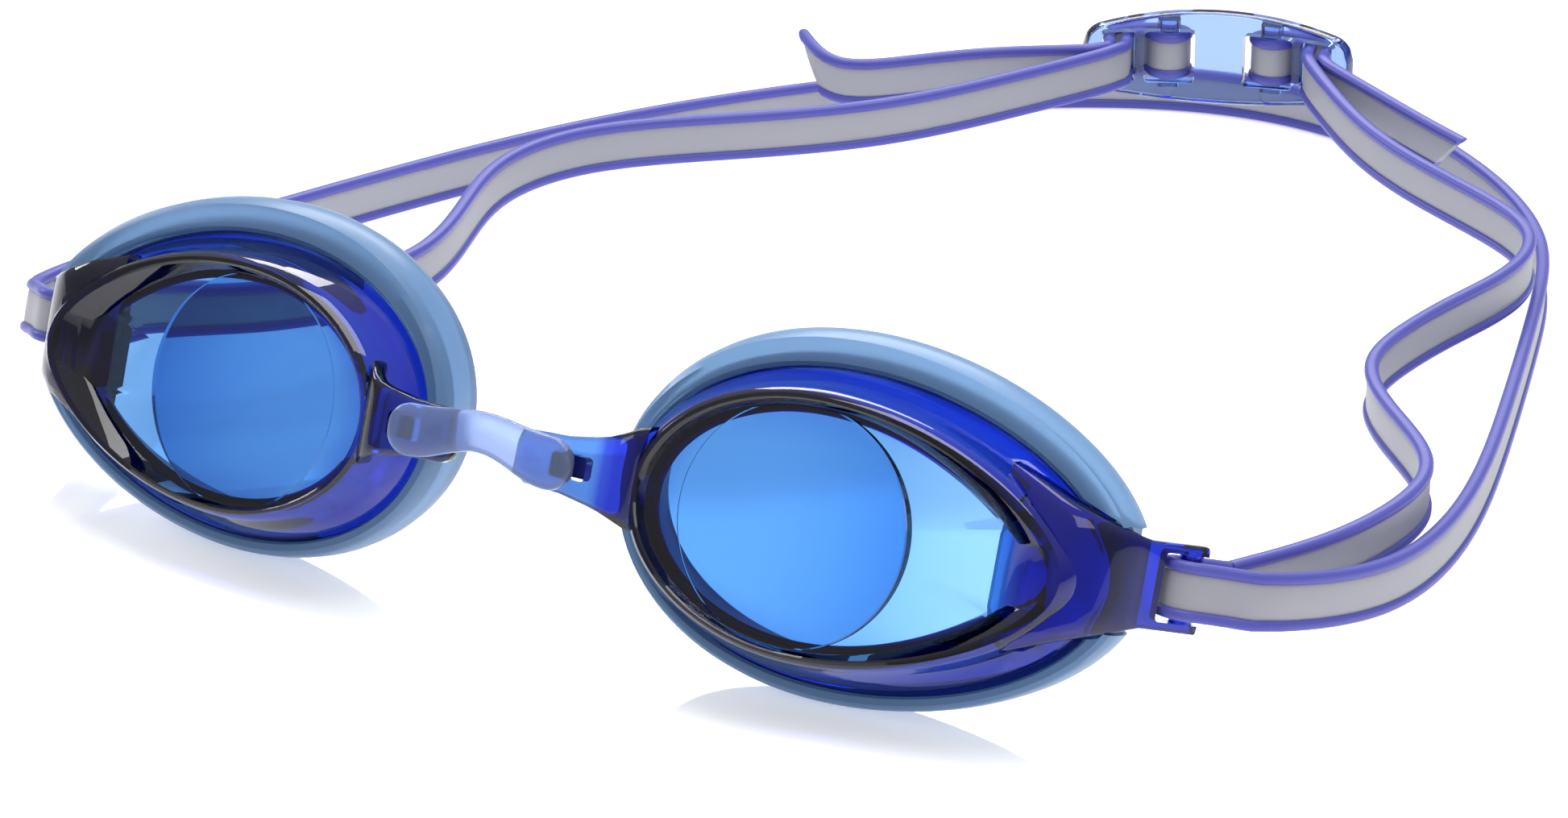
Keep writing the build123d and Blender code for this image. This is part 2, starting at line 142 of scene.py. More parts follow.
def egg_loop(loop, over, low, depth, depth_below=None):
    """Lays a loop out as the rear flange's egg-shaped outline, so far outside it, with its middle
    at a height, and if asked at another depth along its lower side. What stands outside the flange
    is drawn in at the nose."""
    for k, vert in enumerate(loop):
        t = 2 * pi * k / RING
        c, s = cos(t), sin(t)
        lower = 0.5 - 0.5 * s
        deep = depth if depth_below is None else depth + (depth_below - depth) * lower ** 2
        u = flange_out + (flange_a + over) * c + max(0.0, over) * nose_share * max(0.0, -c)
        vert.co = (u, deep, low + (flange_b + over) * s * (1 - egg * c))


def disc_loop(loop, radius, depth, facet):
    """The edge of the flat disc, cut short where the window's outline comes inside it."""
    for k, vert in enumerate(loop):
        u, v, share = drop_point(k, 17.6, 22.7, 12.05, cup_v, 0.3)
        reach = min(1.0, radius / sqrt((u - disc_u) ** 2 + (v - cup_v) ** 2))
        u, v = disc_u + (u - disc_u) * reach, cup_v + (v - cup_v) * reach
        vert.co = (u, depth + facet * facet_depth(u), v)


def cup_shell():
    """The cup without its tab and outrigger, as one closed wall."""
    bm = bmesh.new()
    loop = list(bmesh.ops.create_circle(bm, segments=RING, radius=1.0)["verts"])
    disc_loop(loop, disc_r - 0.15, 0.0, 0.0)
    bm.faces.new(loop)
    loop = next_loop(bm, loop)
    disc_loop(loop, disc_r, 0.1, 0.0)
    loop = next_loop(bm, loop)
    disc_loop(loop, disc_r + 0.02, 0.02, 1.0)
    # nose reach, temple reach, half height, middle height, pinch, depth, temple set-back, facet share
    drops = [(17.9, 22.8, 12.25, cup_v, 0.30, 0.0, 0.0, 1.0),
             (18.1, 23.3, 12.4, cup_v, 0.29, -0.35, -0.1, 0.9),
             (18.4, 25.9, 12.65, cup_v + 0.1, 0.20, -0.95, 0.3, 0.5),
             (18.65, 26.6, 12.85, cup_v + 0.15, 0.18, -1.1, 0.5, 0.5),
             (19.1, 27.1, 13.2, cup_v + 0.2, 0.17, -1.05, 0.5, 0.5),
             (19.5, 27.6, 13.5, cup_v + 0.2, 0.17, -0.7, 0.6, 0.5),
             (20.0, 28.1, 13.85, cup_v + 0.2, 0.18, 0.4, 0.8, 0.4),
             (20.8, 28.6, 14.3, cup_v + 0.1, 0.20, 2.0, 0.9, 0.2),
             (22.1, 29.2, 15.1, cup_v, 0.22, 4.2, 0.6, 0.0)]
    for drop in drops:
        loop = next_loop(bm, loop)
        drop_loop(loop, *drop)
    rings = [(-neck - 0.1, wall_w - 0.3), (-neck + 0.2, wall_w), (-0.2, wall_w), (0.0, wall_w + 0.2),
             (0.0, flange_w - 0.2), (-0.2, flange_w), (-neck - wall + 0.2, flange_w),
             (-neck - wall, flange_w - 0.3)]
    for over, depth in rings:
        loop = next_loop(bm, loop)
        egg_loop(loop, over, cup_v, depth)
    # the inner face, from the flange forward and then in to the middle of the window
    inner = [(19.2, 25.6, 12.4, cup_v, 0.2, 5.0, 0.6), (17.8, 23.9, 11.9, cup_v, 0.25, 3.6, 0.4),
             (17.2, 22.9, 11.7, cup_v, 0.28, window_t + 0.35, 0.0)]
    inner += [(16.8 * k, 22.2 * k, 11.4 * k, cup_v, 0.30, window_t, 0.0)
              for k in (1.0, 0.8, 0.6, 0.4, 0.2, 0.08)]
    for drop in inner:
        loop = next_loop(bm, loop)
        drop_loop(loop, *drop, 0.0)
        for vert in loop:
            # behind the facet it curves back towards the temple
            vert.co.y += 0.0026 * max(0.0, vert.co.x + 10.0) ** 1.9
    bm.faces.new(loop)
    bmesh.ops.recalc_face_normals(bm, faces=bm.faces)
    return bm


def make_object(name, bm, place=None):
    """A mesh object from a bmesh, with its place in its mesh."""
    if place is not None:
        bmesh.ops.transform(bm, matrix=place, verts=bm.verts)
    mesh = bpy.data.meshes.new(name)
    bm.to_mesh(mesh)
    bm.free()
    obj = bpy.data.objects.new(name, mesh)
    bpy.context.scene.collection.objects.link(obj)
    return obj


bar_u, bar_w = 34.08, 12.79
run_angle = radians(45.5)
slot_h, slot_w, bar_d, arm_h, arm_t = 7.0, 2.2, 2.4, 0.95, 2.6


def on_arm(along, outward):
    """A plan point beside the strap bar, along and across the arm."""
    c, s = cos(run_angle), sin(run_angle)
    return bar_u + along * c + outward * s, bar_w + along * s - outward * c


def outrigger():
    """The arm from the window's temple end back to the strap bar, narrowing as it goes."""
    bm = bmesh.new()
    loop = list(bmesh.ops.create_circle(bm, segments=32, radius=1.0)["verts"])
    end = slot_h / 2 + arm_h
    # outer and inner plan point and half height of each section
    stations = [((17.4, 2.8), (17.4, 5.6), 9.7),
                ((21.0, 1.4), (20.6, 6.3), 8.6),
                ((24.6, 1.7), (23.6, 7.0), 7.1),
                ((27.6, 3.6), (26.2, 8.2), 6.0),
                (on_arm(-7.4, arm_t / 2 + 0.45), on_arm(-7.4, -arm_t / 2 - 0.5), end + 0.75),
                (on_arm(-6.2, arm_t / 2 + 0.25), on_arm(-6.2, -arm_t / 2 - 0.3), end + 0.35),
                (on_arm(-4.8, arm_t / 2), on_arm(-4.8, -arm_t / 2), end),
                (on_arm(bar_d / 2 + 0.1, arm_t / 2), on_arm(bar_d / 2 + 0.1, -arm_t / 2), end),
                (on_arm(bar_d / 2 + 0.37, arm_t / 2 - 0.4), on_arm(bar_d / 2 + 0.37, 0.4 - arm_t / 2),
                 end - 0.4)]
    for index, (outer, inner, high) in enumerate(stations):
        if index:
            loop = next_loop(bm, loop)
        middle = Vector(((outer[0] + inner[0]) / 2, (outer[1] + inner[1]) / 2))
        half = Vector(((outer[0] - inner[0]) / 2, (outer[1] - inner[1]) / 2))
        for k, vert in enumerate(loop):
            t = 2 * pi * (k + 0.5) / len(loop)
            c, s = cos(t), sin(t)
            x, z = (abs(c) ** 0.28) * (1 if c > 0 else -1), (abs(s) ** 0.28) * (1 if s > 0 else -1)
            vert.co = (middle.x + half.x * x, middle.y + half.y * x, high * z)
        if index == 0:
            bm.faces.new(loop)
    bm.faces.new(loop)
    bmesh.ops.recalc_face_normals(bm, faces=bm.faces)
    return bm


def block(size, centre, turn=0.0):
    """A rectangular block with rounded edges, turned in plan."""
    bm = bmesh.new()
    bmesh.ops.create_cube(bm, size=1.0)
    bmesh.ops.scale(bm, vec=size, verts=bm.verts)
    bmesh.ops.bevel(bm, geom=bm.edges[:], offset=0.35, segments=2, profile=0.5, material=-1, affect="EDGES")
    bmesh.ops.rotate(bm, cent=(0, 0, 0), matrix=Matrix.Rotation(turn, 3, "Z"), verts=bm.verts)
    bmesh.ops.translate(bm, vec=centre, verts=bm.verts)
    return bm


def bar_rod():
    """The strap bar, between the outrigger's two arms."""
    bm = bmesh.new()
    bmesh.ops.create_cone(bm, cap_ends=True, segments=40, radius1=bar_d / 2, radius2=bar_d / 2,
                          depth=slot_h + arm_h)
    bmesh.ops.translate(bm, vec=(bar_u, bar_w, 0), verts=bm.verts)
    return bm


def combine(obj, other, how):
    """Joins another closed shape to this one, or cuts it away, and drops the other."""
    step = obj.modifiers.new("combine", "BOOLEAN")
    step.operation, step.solver, step.object = how, "EXACT", other
    graph = bpy.context.evaluated_depsgraph_get()
    mesh = bpy.data.meshes.new_from_object(obj.evaluated_get(graph))
    obj.modifiers.clear()
    obj.data = mesh
    bpy.data.objects.remove(other)


tab_end, tab_h, tab_root_h, tab_t = 3.9, 5.6, 7.8, 1.8
hole_in, hole_out, hole_h = 8.3, 12.1, 2.5
bridge_t = 2.0
bridge_rise = 1.4
lean_axes = Matrix((Vector((1, 0, 0)), lean_axis.cross(Vector((1, 0, 0))), lean_axis)).transposed().to_4x4()
tab_front = bridge_t / 2                # front of the tabs, behind the middle of the bridge
nose_place = lean_axes @ Matrix.Scale(MM, 4) @ Matrix.Translation((0, 0, -bridge_rise))


def nose_tab():
    """The flat plate that reaches from the cup to the bridge, widening into the rim."""
    bm = bmesh.new()
    loop = list(bmesh.ops.create_circle(bm, segments=32, radius=1.0)["verts"])
    # place across, half height, half thickness and how far the front face has curved back
    root, half_t = tab_root_h / 2, tab_t / 2
    stations = [(tab_end, 1.7, 0.35, 0.5), (tab_end + 0.35, 2.3, 0.75, 0.1),
                (tab_end + 1.2, tab_h / 2, half_t, 0.0), (9.4, tab_h / 2 + 0.2, half_t, 0.0),
                (12.6, root - 0.35, half_t, 0.0), (14.0, root, half_t + 0.1, 0.15),
                (15.2, root + 0.6, half_t + 0.4, 0.7), (16.2, root + 1.3, half_t + 0.8, 1.7),
                (17.0, root + 1.6, half_t + 0.7, 2.8)]
    for index, (x, high, thick, back) in enumerate(stations):
        if index:
            loop = next_loop(bm, loop)
        for k, vert in enumerate(loop):
            t = 2 * pi * (k + 0.5) / len(loop)
            c, s = cos(t), sin(t)
            y, z = (abs(c) ** 0.3) * (1 if c > 0 else -1), (abs(s) ** 0.3) * (1 if s > 0 else -1)
            vert.co = (x, tab_front + back + thick + thick * y, high * z)
        if index == 0:
            bm.faces.new(loop)
    bm.faces.new(loop)
    bmesh.ops.recalc_face_normals(bm, faces=bm.faces)
    return bm


def clean_up(obj):
    """Welds the near-double points that joining leaves, so that the surface stays closed."""
    bm = bmesh.new()
    bm.from_mesh(obj.data)
    bmesh.ops.remove_doubles(bm, verts=bm.verts, dist=0.003 * MM)
    bmesh.ops.dissolve_degenerate(bm, edges=bm.edges, dist=0.001 * MM)
    bm.to_mesh(obj.data)
    bm.free()


def smooth_by_angle(obj, angle=32):
    """Smooth shading, with sharp edges where faces meet at more than the angle, in degrees."""
    for face in obj.data.polygons:
        face.use_smooth = True
    obj.data.set_sharp_from_angle(angle=radians(angle))


def mirrored(obj, name):
    """A copy on the other side of the mid-plane, with its faces turned outwards again."""
    bm = bmesh.new()
    bm.from_mesh(obj.data)
    bmesh.ops.scale(bm, vec=(-1, 1, 1), verts=bm.verts)
    bmesh.ops.reverse_faces(bm, faces=bm.faces)
    return make_object(name, bm)


lens_right = make_object("eyecup_right", cup_shell())
combine(lens_right, make_object("arm", outrigger()), "UNION")
x, y = on_arm(4 - bar_d / 2 - slot_w, 0)
combine(lens_right, make_object("slot", block((8, 12, slot_h), (x, y, 0), run_angle)), "DIFFERENCE")
combine(lens_right, make_object("rod", bar_rod()), "UNION")
lens_right.data.transform(cup_place)
combine(lens_right, make_object("tab", nose_tab(), nose_place), "UNION")
hole = block((hole_out - hole_in, 8 * tab_t, hole_h), ((hole_in + hole_out) / 2, tab_front + tab_t, 0))
combine(lens_right, make_object("hole", hole, nose_place), "DIFFERENCE")
clean_up(lens_right)
smooth_by_angle(lens_right)
lens_left = mirrored(lens_right, "eyecup_left")
smooth_by_angle(lens_left)


tab_shade_reach = 13.2                          # inside this the nose tab gets a fixed 0.4 share of the painted wall shade


def mark_painted_wall_shade(obj, side):
    """Paints shade onto what lies outside the window: marks the walls and arms for a darker base colour,
    which stands in for the light lost on long paths through them. The nose tab gets a fixed lighter share.
    """
    to_cup = cup_place.inverted()
    thick = obj.data.attributes.new("thick", "FLOAT", "POINT")
    for vert, value in zip(obj.data.vertices, thick.data):
        place = to_cup @ (vert.co * Vector((side, 1, 1)))
        u, v = place.x - drop_u, place.z - cup_v
        outside = sqrt((u / (23.0 if u > 0 else 18.0)) ** 2 + (v / 12.3) ** 2)
        value.value = min(1.0, max(0.0, (outside - 0.93) / 0.1))
        if abs(vert.co.x) < tab_shade_reach * MM:
            value.value = 0.4


mark_painted_wall_shade(lens_right, 1)
mark_painted_wall_shade(lens_left, -1)


def srgb(code):
    """A colour written as sRGB hex, as the linear value that a shader wants."""
    parts = [int(code[i:i + 2], 16) / 255 for i in (1, 3, 5)]
    return tuple(p / 12.92 if p <= 0.04045 else ((p + 0.055) / 1.055) ** 2.4 for p in parts) + (1.0,)


def add_node(material, kind, links=(), **settings):
    """Adds a shader node, sets its named values and links (socket, node, output) into it."""
    node = material.node_tree.nodes.new(kind)
    for name, value in settings.items():
        if hasattr(node, name) and name not in node.inputs:
            setattr(node, name, value)
        else:
            node.inputs[name.replace("_", " ")].default_value = value
    for socket, source, output in links:
        material.node_tree.links.new(source.outputs[output], node.inputs[socket])
    return node


def new_material(name):
    """An empty node material."""
    material = bpy.data.materials.new(name)
    material.use_nodes = True
    material.node_tree.nodes.clear()
    return material


# polished tinted polycarbonate: clear blue through the thin window, near navy through its edges. The walls,
# arms and nose tab also carry painted shade: their base colour is mixed towards deep blue-violet by the
# 'thick' attribute.
tinted = new_material("polycarbonate_tinted_polished")
thick = add_node(tinted, "ShaderNodeAttribute", attribute_name="thick")
# painted shade: the base colour goes from white towards deep blue-violet where the 'thick' attribute is high
deeper = add_node(tinted, "ShaderNodeMix", [("Factor", thick, "Fac")], data_type="RGBA")
deeper.inputs[6].default_value, deeper.inputs[7].default_value = (1, 1, 1, 1), srgb("#5A58D6")
surface = add_node(tinted, "ShaderNodeBsdfPrincipled", [("Base Color", deeper, 2)])
surface.inputs["Transmission Weight"].default_value = 1.0
surface.inputs["Roughness"].default_value = 0.02
surface.inputs["IOR"].default_value = 1.58
tint = add_node(tinted, "ShaderNodeVolumeAbsorption")
tint.inputs["Color"].default_value = (0.03, 0.47, 0.79, 1)
tint.inputs["Density"].default_value = 1300.0
add_node(tinted, "ShaderNodeOutputMaterial", [("Surface", surface, 0), ("Volume", tint, 0)])
for piece, side in ((lens_right, "right"), (lens_left, "left")):
    piece.data.materials.append(tinted)
    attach(piece, f"{side}_eyecup")
    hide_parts(f"{side}_lens")


# ---- gaskets: a soft translucent ring moulded in thermoplastic rubber, gripping the cup's flange
# in a groove and ending in the rounded seal that meets the face.
def gasket_bm():
    """The ring, laid out section by section: from the lip over the wall, round the outside to the
    seal, and back through the groove that the flange sits in."""
    bm = bmesh.new()
    loop = list(bmesh.ops.create_circle(bm, segments=RING, radius=1.0)["verts"])
    front, low = wall_w - 1.7, wall_w - 0.7
    seat = 0.05
    # overhang past the flange, height of the middle, depth at the top and depth along the bottom
    rings = [(-neck + seat, cup_v, front + 0.35, low + 0.3), (-neck + 0.4, cup_v + 0.1, front, low),
             (0.35, cup_v / 2, front + 0.05, low), (1.0, 0.3 * cup_v, front + 0.5, low + 0.4),
             (1.4, 0.1 * cup_v, front + 1.7, low + 1.0), (1.62, 0, 8.4, 8.4),
             (1.57, 0, 9.7, 9.7), (1.2, 0, 11.0, 11.0), (0.6, 0, 12.0, 12.0), (-0.4, 0, 12.4, 12.4),
             (-1.6, 0, 12.4, 12.4), (-2.6, 0, 12.0, 12.0), (-3.1, 0, 11.2, 11.2),
             (-3.2, 0.3 * cup_v, 10.0, 10.0), (-3.2, cup_v, flange_w + 0.3, flange_w + 0.3),
             (-3.0, cup_v, flange_w + seat, flange_w + seat),
             (seat - 0.3, cup_v, flange_w + seat, flange_w + seat),
             (seat, cup_v, flange_w + seat - 0.2, flange_w + seat - 0.2),
             (seat, cup_v, wall_w - seat + 0.2, wall_w - seat + 0.2),
             (seat - 0.3, cup_v, wall_w - seat, wall_w - seat),
             (-neck + seat + 0.2, cup_v, wall_w - seat, wall_w - seat),
             (-neck + seat, cup_v, wall_w - seat - 0.2, wall_w - seat - 0.2)]
    first = loop
    for index, ring in enumerate(rings):
        if index:
            loop = next_loop(bm, loop)
        egg_loop(loop, *ring)
    edges = [bm.edges.get((a, b)) for ring in (first, loop) for a, b in zip(ring, ring[1:] + ring[:1])]
    bmesh.ops.bridge_loops(bm, edges=edges)
    bmesh.ops.recalc_face_normals(bm, faces=bm.faces)
    return bm


gasket_right = make_object("gasket_right", gasket_bm())
# cut back behind the outrigger, with clearance round it
relief = block((20, 40, slot_h + 3.8), (flange_out + flange_a + 8.8, 0, 0))
combine(gasket_right, make_object("relief", relief), "DIFFERENCE")
arm = outrigger()
bmesh.ops.scale(arm, vec=(1, 1, 1.06), verts=arm.verts)
bmesh.ops.translate(arm, vec=(0, 0.3, 0), verts=arm.verts)
combine(gasket_right, make_object("arm", arm), "DIFFERENCE")
gasket_right.data.transform(cup_place)
smooth_by_angle(gasket_right)
gasket_left = mirrored(gasket_right, "gasket_left")
smooth_by_angle(gasket_left)
rubber = new_material("thermoplastic_rubber_translucent")
surface = add_node(rubber, "ShaderNodeBsdfPrincipled")
surface.inputs["Base Color"].default_value = srgb("#7FA9D6")
surface.inputs["Transmission Weight"].default_value = 0.55
surface.inputs["Roughness"].default_value = 0.32
surface.inputs["IOR"].default_value = 1.43
add_node(rubber, "ShaderNodeOutputMaterial", [("Surface", surface, 0)])
for piece, side in ((gasket_right, "right"), (gasket_left, "left")):
    piece.data.materials.append(rubber)
    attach(piece, f"{side}_eyecup")
    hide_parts(f"{side}_gasket")


# ---- nose bridge: one soft translucent strip, arched over the nose, with a rounded tongue and a
# stud at each end. Each stud is pushed through the keyhole slot in a nose tab.
bridge_half, bridge_h, bridge_mid_h = 11.2, 5.5, 4.3
stud_w, stud_h = 1.8, 2.3


def bridge_bm():
    """The strip, laid out in sections from tip to tip."""
    bm = bmesh.new()
    loop = list(bmesh.ops.create_circle(bm, segments=40, radius=1.0)["verts"])
    straight = bridge_half - bridge_h / 2
    steps = 64
    for index in range(steps + 1):
        x = -bridge_half * cos(pi * index / steps) * 0.9995
        lift = bridge_rise * (0.5 + 0.5 * cos(pi * min(1.0, abs(x) / straight)))
        beyond = max(0.0, abs(x) - straight) / (bridge_h / 2)
        high = bridge_mid_h / 2 + (bridge_h - bridge_mid_h) / 2 * (1 - lift / bridge_rise)
        high *= sqrt(max(0.0, 1 - beyond ** 2))
        thick = bridge_t / 2 * (1 - beyond ** 4) ** 0.5 if beyond < 1 else 0.0
        if index:
            loop = next_loop(bm, loop)
        for k, vert in enumerate(loop):
            t = 2 * pi * k / len(loop)
            c, s = cos(t), sin(t)
            y, z = abs(c) ** 0.5 * (1 if c > 0 else -1), abs(s) ** 0.75 * (1 if s > 0 else -1)
            vert.co = (x, 0.03 * lift + thick * y, lift + high * z)
        if index in (0, steps):
            bm.faces.new(loop)
    bmesh.ops.recalc_face_normals(bm, faces=bm.faces)
    return bm


bridge = make_object("nose_bridge_strip", bridge_bm(), nose_place)
for side in (-1, 1):
    place = (side * (hole_in + 0.1 + stud_w / 2), tab_front + tab_t / 2, 0)
    stud = block((stud_w, tab_t + 1.4, stud_h), place)
    combine(bridge, make_object("stud", stud, nose_place), "UNION")
    place = (side * (hole_in + hole_out) / 2, tab_front + tab_t - 0.1, 0)
    foot = block((hole_out - hole_in - 0.15, 1.2, stud_h), place)
    combine(bridge, make_object("foot", foot, nose_place), "UNION")
smooth_by_angle(bridge, 40)
soft_plastic = new_material("flexible_plastic_milky")
surface = add_node(soft_plastic, "ShaderNodeBsdfPrincipled")
surface.inputs["Base Color"].default_value = srgb("#A9BFF2")
surface.inputs["Transmission Weight"].default_value = 0.78
surface.inputs["Roughness"].default_value = 0.2
surface.inputs["IOR"].default_value = 1.46
add_node(soft_plastic, "ShaderNodeOutputMaterial", [("Surface", surface, 0)])
# the studs sit in the shade of the tinted tabs and are drawn darker than the strip
shaded = new_material("flexible_plastic_shaded_stud")
surface = add_node(shaded, "ShaderNodeBsdfPrincipled")
surface.inputs["Base Color"].default_value = srgb("#1B2478")
surface.inputs["Roughness"].default_value = 0.3
surface.inputs["IOR"].default_value = 1.46
add_node(shaded, "ShaderNodeOutputMaterial", [("Surface", surface, 0)])
bridge.data.materials.append(soft_plastic)
bridge.data.materials.append(shaded)
from_nose = nose_place.inverted()
for face in bridge.data.polygons:
    place = from_nose @ face.center
    face.material_index = 1 if place.y > tab_front + 0.3 and abs(place.x) > hole_in - 0.5 else 0
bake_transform(bridge)
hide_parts("nose_bridge")


# ---- rear clip: a clear plate curved round the back of the head. Near each end it has a window
# with a post across it, for the strap to roll over, and an open slot for the strap to pass through.
table_corner = Vector((0.0, 1.385, -24.555))      # the routes below are measured from the table here
clip_x, clip_y, clip_low, clip_yaw = -2.4, 169.0, 6.9, radians(20.0)
clip_half, clip_h, clip_end_h, clip_t, clip_r = 17.2, 12.0, 7.5, 2.0, 46.0
clip_corner = 2.2
post_s, post_d, post_out = 6.4, 2.8, 1.8
pane_in, bar_in, bar_out, slot_out, pane_h = 3.1, 9.6, 10.7, 15.0, 6.8
clip_middle = clip_low + clip_h / 2


def on_clip(along, out):
    """A plan point of the clip, along its curved plate and out from it, away from the head."""
    turned = along / clip_r
    x, y = (clip_r + out) * sin(turned), (clip_r + out) * cos(turned) - clip_r
    c, s = cos(clip_yaw), sin(clip_yaw)
    return clip_x + x * c - y * s, clip_y + x * s + y * c


def bend_on_clip(bm):
    """Bends a flat piece, drawn as along, out and height, onto the clip's curve."""
    for vert in bm.verts:
        x, y = on_clip(vert.co.x, vert.co.y)
        vert.co = (Vector((x, y, vert.co.z + clip_middle)) + table_corner) * MM


def thicken(bm, depth):
    """Draws a flat sheet out into a slab."""
    grown = bmesh.ops.extrude_face_region(bm, geom=bm.faces[:])["geom"]
    bmesh.ops.translate(bm, vec=(0, depth, 0), verts=[v for v in grown if isinstance(v, bmesh.types.BMVert)])


def clip_plate():
    """The plate, lower at its ends, with rounded corners and softened edges."""
    bm = bmesh.new()
    bmesh.ops.create_grid(bm, x_segments=72, y_segments=16, size=1.0)
    for vert in bm.verts:
        x, y = vert.co.x, vert.co.y
        tall = clip_end_h / 2 + (clip_h - clip_end_h) / 2 * (1 - x * x)
        corner = max(0.0, abs(x) * clip_half - (clip_half - clip_corner)) / clip_corner
        tall = tall - clip_corner * (1 - sqrt(max(0.0, 1 - corner ** 2)))
        vert.co = (x * clip_half, -clip_t / 2, y * tall)
    thicken(bm, clip_t)
    bmesh.ops.recalc_face_normals(bm, faces=bm.faces)
    rim = [e for e in bm.edges if len(e.link_faces) == 2 and e.calc_face_angle() > radians(60)
           and abs(e.verts[0].co.y - e.verts[1].co.y) < 0.01]
    bmesh.ops.bevel(bm, geom=rim, offset=0.3, segments=3, profile=0.5, affect="EDGES")
    bend_on_clip(bm)
    return bm


def clip_cutter(start, stop):
    """A cutter for one of the clip's windows or slots, between two places along the plate."""
    bm = bmesh.new()
    bmesh.ops.create_grid(bm, x_segments=8, y_segments=1, size=1.0)
    for vert in bm.verts:
        vert.co = ((start + stop) / 2 + vert.co.x * (stop - start) / 2, -2 * clip_t, vert.co.y * pane_h / 2)
    thicken(bm, 4 * clip_t)
    corners = [e for e in bm.edges if abs(e.verts[0].co.y - e.verts[1].co.y) > clip_t
               and abs(abs(e.verts[0].co.x - (start + stop) / 2) - abs(stop - start) / 2) < 0.01]
    bmesh.ops.bevel(bm, geom=corners, offset=0.6, segments=3, profile=0.5, affect="EDGES")
    bmesh.ops.recalc_face_normals(bm, faces=bm.faces)
    bend_on_clip(bm)
    return bm


clip = make_object("rear_clip_plate", clip_plate())
for side in (-1, 1):
    for start, stop in ((pane_in, bar_in), (bar_out, slot_out)):
        combine(clip, make_object("pane", clip_cutter(side * start, side * stop)), "DIFFERENCE")
    post = bmesh.new()
    bmesh.ops.create_cone(post, cap_ends=True, segments=32, radius1=post_d / 2, radius2=post_d / 2,
                          depth=pane_h + 2.0)
    bmesh.ops.translate(post, vec=(side * post_s, post_out, 0), verts=post.verts)
    bend_on_clip(post)
    combine(clip, make_object("post", post), "UNION")
    for high in (-1, 1):
        # the round witness marks of the mould's ejector pins
        mark = bmesh.new()
        bmesh.ops.create_cone(mark, cap_ends=True, segments=32, radius1=0.85, radius2=0.85, depth=0.3)
        bmesh.ops.rotate(mark, cent=(0, 0, 0), matrix=Matrix.Rotation(pi / 2, 3, "X"), verts=mark.verts)
        bmesh.ops.translate(mark, vec=(side * post_s, -clip_t / 2, high * 4.45), verts=mark.verts)
        bend_on_clip(mark)
        combine(clip, make_object("mark", mark), "DIFFERENCE")
smooth_by_angle(clip, 35)
clear_plastic = new_material("polycarbonate_pale_blue")
surface = add_node(clear_plastic, "ShaderNodeBsdfPrincipled")
surface.inputs["Base Color"].default_value = (1, 1, 1, 1)
surface.inputs["Transmission Weight"].default_value = 1.0
surface.inputs["Roughness"].default_value = 0.08
surface.inputs["IOR"].default_value = 1.5
tint = add_node(clear_plastic, "ShaderNodeVolumeAbsorption")
tint.inputs["Color"].default_value = (0.38, 0.57, 0.88, 1)
tint.inputs["Density"].default_value = 1000.0
add_node(clear_plastic, "ShaderNodeOutputMaterial", [("Surface", surface, 0), ("Volume", tint, 0)])
clip.data.materials.append(clear_plastic)
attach(clip, "left_eyecup")
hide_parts("rear_clip")


# ---- head strap: one silicone band, a flat milky web with a coloured bead moulded along each
# edge. It loops round both outrigger bars; the outer run is unbroken, and each inner run goes
# through the clip, over its post and out again as a free tail.
strap_h, web_t, bead_t, bead_h = 6.0, 1.0, 1.6, 1.25
loop_r = 2.25
left_side = [(-79, 36, 9.5), (-78, 60, 6.5), (-75, 86, 4), (-67, 119, 2), (-53, 150, 0)]
back_side = [(-32, 172, 0), (-8, 184, 0), (14, 181, 0), (34, 169, 0), (51, 151, 0)]
right_side = [(61, 125, 2), (72, 92, 3.5), (80.5, 64, 5), (83, 40, 7)]
left_run = [(-64, 34, 9.8), (-52, 42, 9.8), (-47, 56, 9.6), (-52, 72, 9.3), (-58, 88, 9),
            (-55, 104, 8.6), (-42, 117, 8.2), (-28, 130, 8.4), (-19, 146, 9)]
left_tail = [(-26, 152.5, 9), (-35, 146, 8), (-42.5, 141, 7.4), (-49, 144.5, 9.6)]
right_run = [(77, 38, 9.8), (79, 53, 9.5), (76, 64, 9.2), (66, 74, 9), (58.5, 84, 8.8), (57.5, 95, 8.6),
             (58.5, 107, 8.4), (60.5, 120, 8.2), (57.5, 132, 8), (48.5, 139, 8), (36, 145.5, 8.2),
             (26, 152, 8.7), (17.5, 160, 9.4)]
right_tail = [(19.5, 164, 9.4), (30, 158.5, 8.6), (38, 154.5, 8.2)]


def stand(route):
    """Route points as places of the band's middle, upright: place and lean."""
    return [((Vector((x, y, low + strap_h / 2)) + table_corner) * MM, 0.0) for x, y, low in route]


def lean_with_cup(side, plan):
    """Places beside a strap bar, where the band leans back with the cup."""
    flip = Vector((side, 1, 1))
    return [(cup_place @ Vector((*on_arm(*point), 0.0)) * flip, 1.0) for point in plan]


def bar_wrap():
    """Once round the strap bar, from the outer leg to the inner leg."""
    turns = [pi * k / 6 for k in range(7)]
    return ([(7.5, 3.4), (5.0, 2.9), (2.5, 2.45)] + [(-loop_r * sin(t), loop_r * cos(t)) for t in turns]
            + [(2.0, -2.25), (3.8, -2.35), (5.5, -2.4)])


def clip_wrap(side):
    """In at the clip's slot, behind its bar, over the post and out again, behind the first layer."""
    near, far = bar_out + 0.2 + bead_t / 2, slot_out - 0.2 - bead_t / 2
    ring = post_d / 2 + 0.1 + bead_t / 2
    first, second = clip_t / 2 + bead_t / 2 + 0.5, post_out + ring + 0.1
    plan = [(near + 1.6, -4.6), (near + 0.4, -2.2), (near, 0.0), (near - 0.5, first - 0.7),
            (near - 1.8, first)]
    plan += [(post_s + ring * cos(t), post_out - ring * sin(t)) for t in (pi * k / 6 for k in range(10))]
    plan += [(post_s + 1.6, second), (near - 1.0, second), (far - 0.7, second - 0.9), (far, 0.4),
             (far + 0.2, -2.2), (far + 1.6, -4.4)]
    return stand([(*on_clip(side * along, out), clip_middle - strap_h / 2) for along, out in plan])


